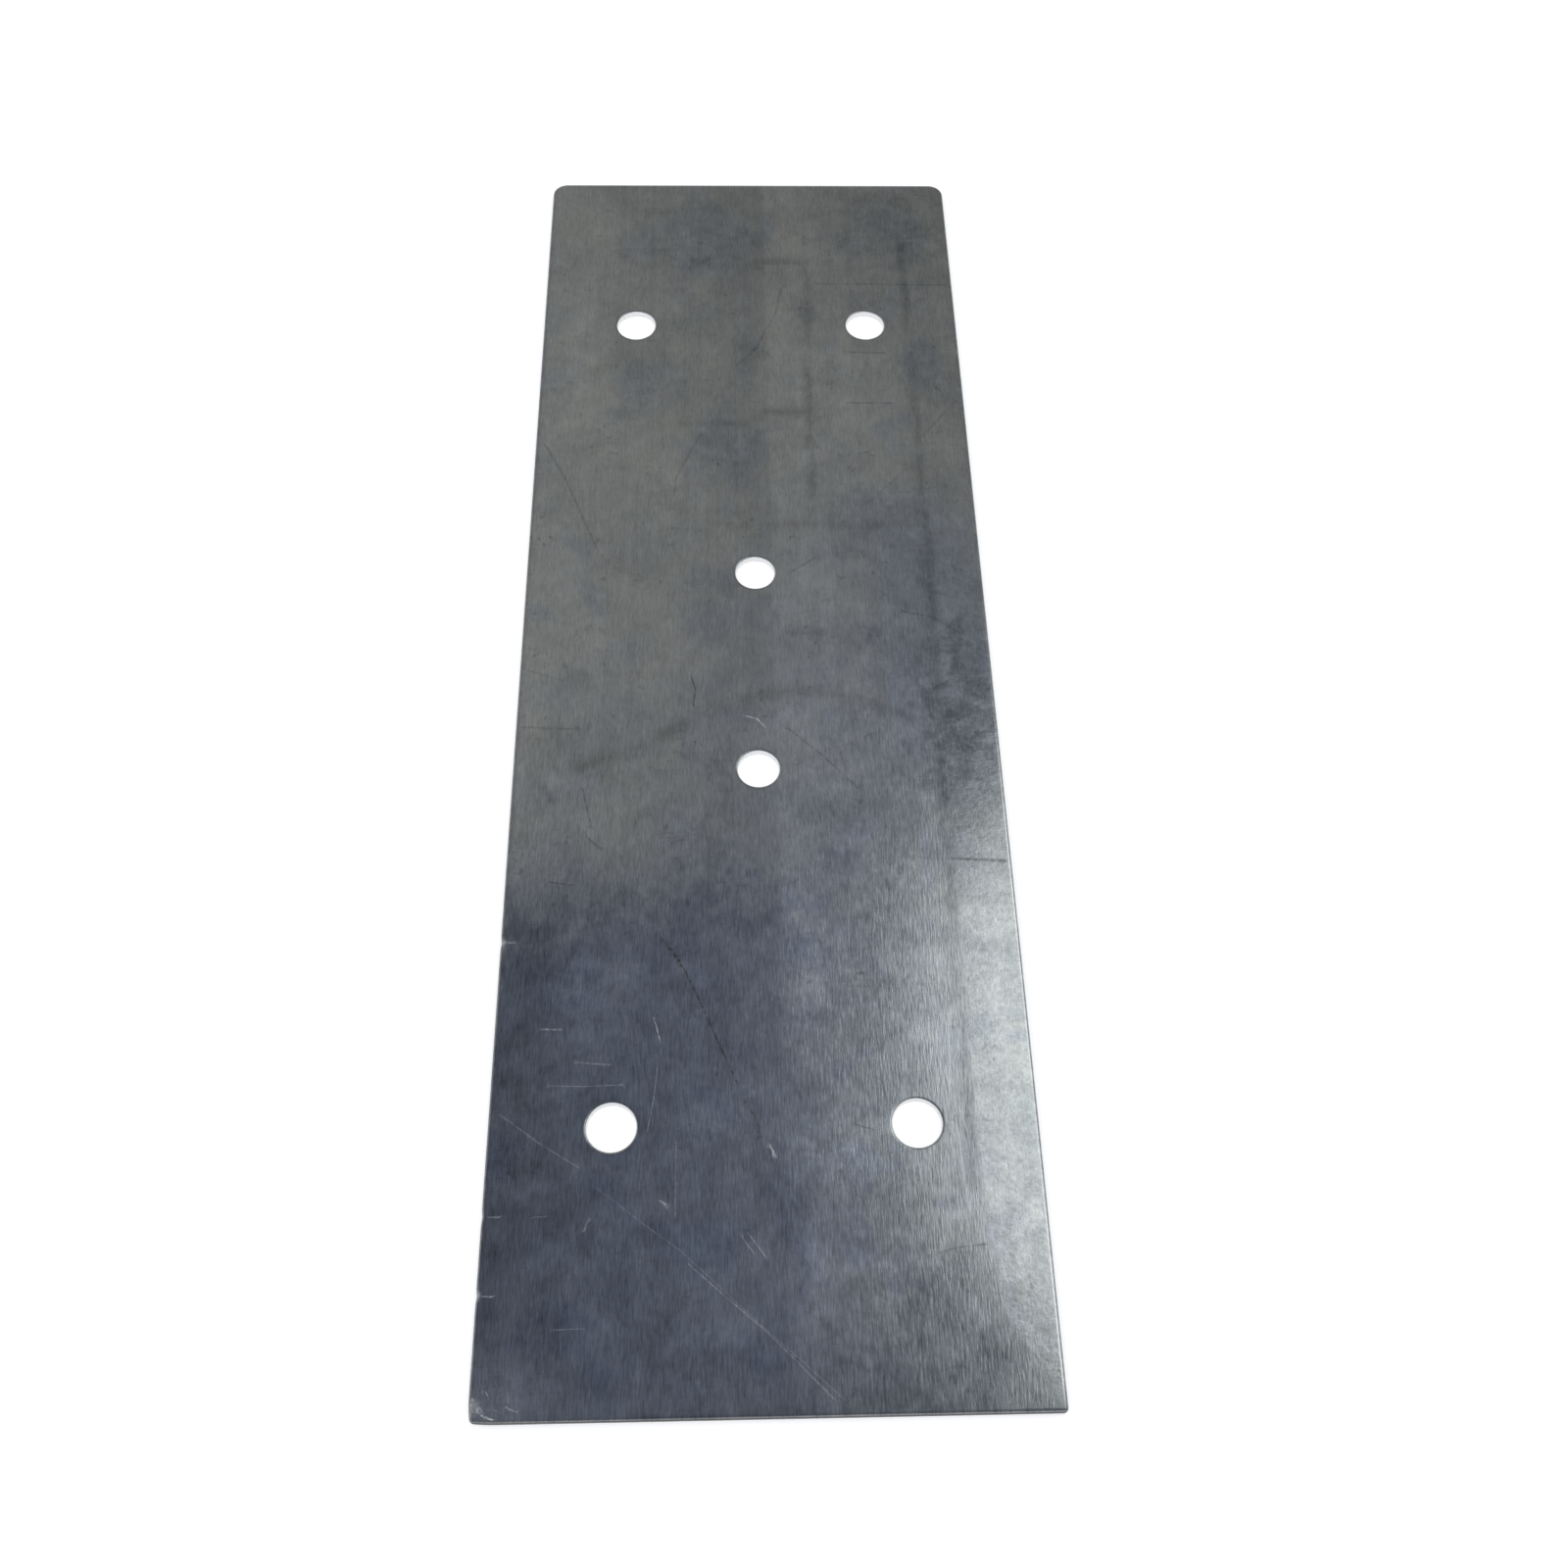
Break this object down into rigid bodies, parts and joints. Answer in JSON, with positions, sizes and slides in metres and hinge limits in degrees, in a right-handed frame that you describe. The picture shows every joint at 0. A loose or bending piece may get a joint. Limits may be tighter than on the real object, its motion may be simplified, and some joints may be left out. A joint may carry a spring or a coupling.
{
  "type": "rectangular cover plate",
  "caption": "Flat rectangular steel cover plate with round bolt holes near its ends and on its centre line, rounded corners at one end.",
  "frame": {"origin": "centre of the underside", "axes": "+Z out of the face that shows, +Y along the long side towards the end with the rounded corners, +X along the short side"},
  "size_m": [0.1, 0.3, 0.0015],
  "materials": {
    "mill_steel": "bare rolled mild steel with a lengthwise grain, cloudy stains and fine scratches"
  },
  "bodies": {
    "root": {"cover_plate": "mill_steel"}
  },
  "joints": []
}
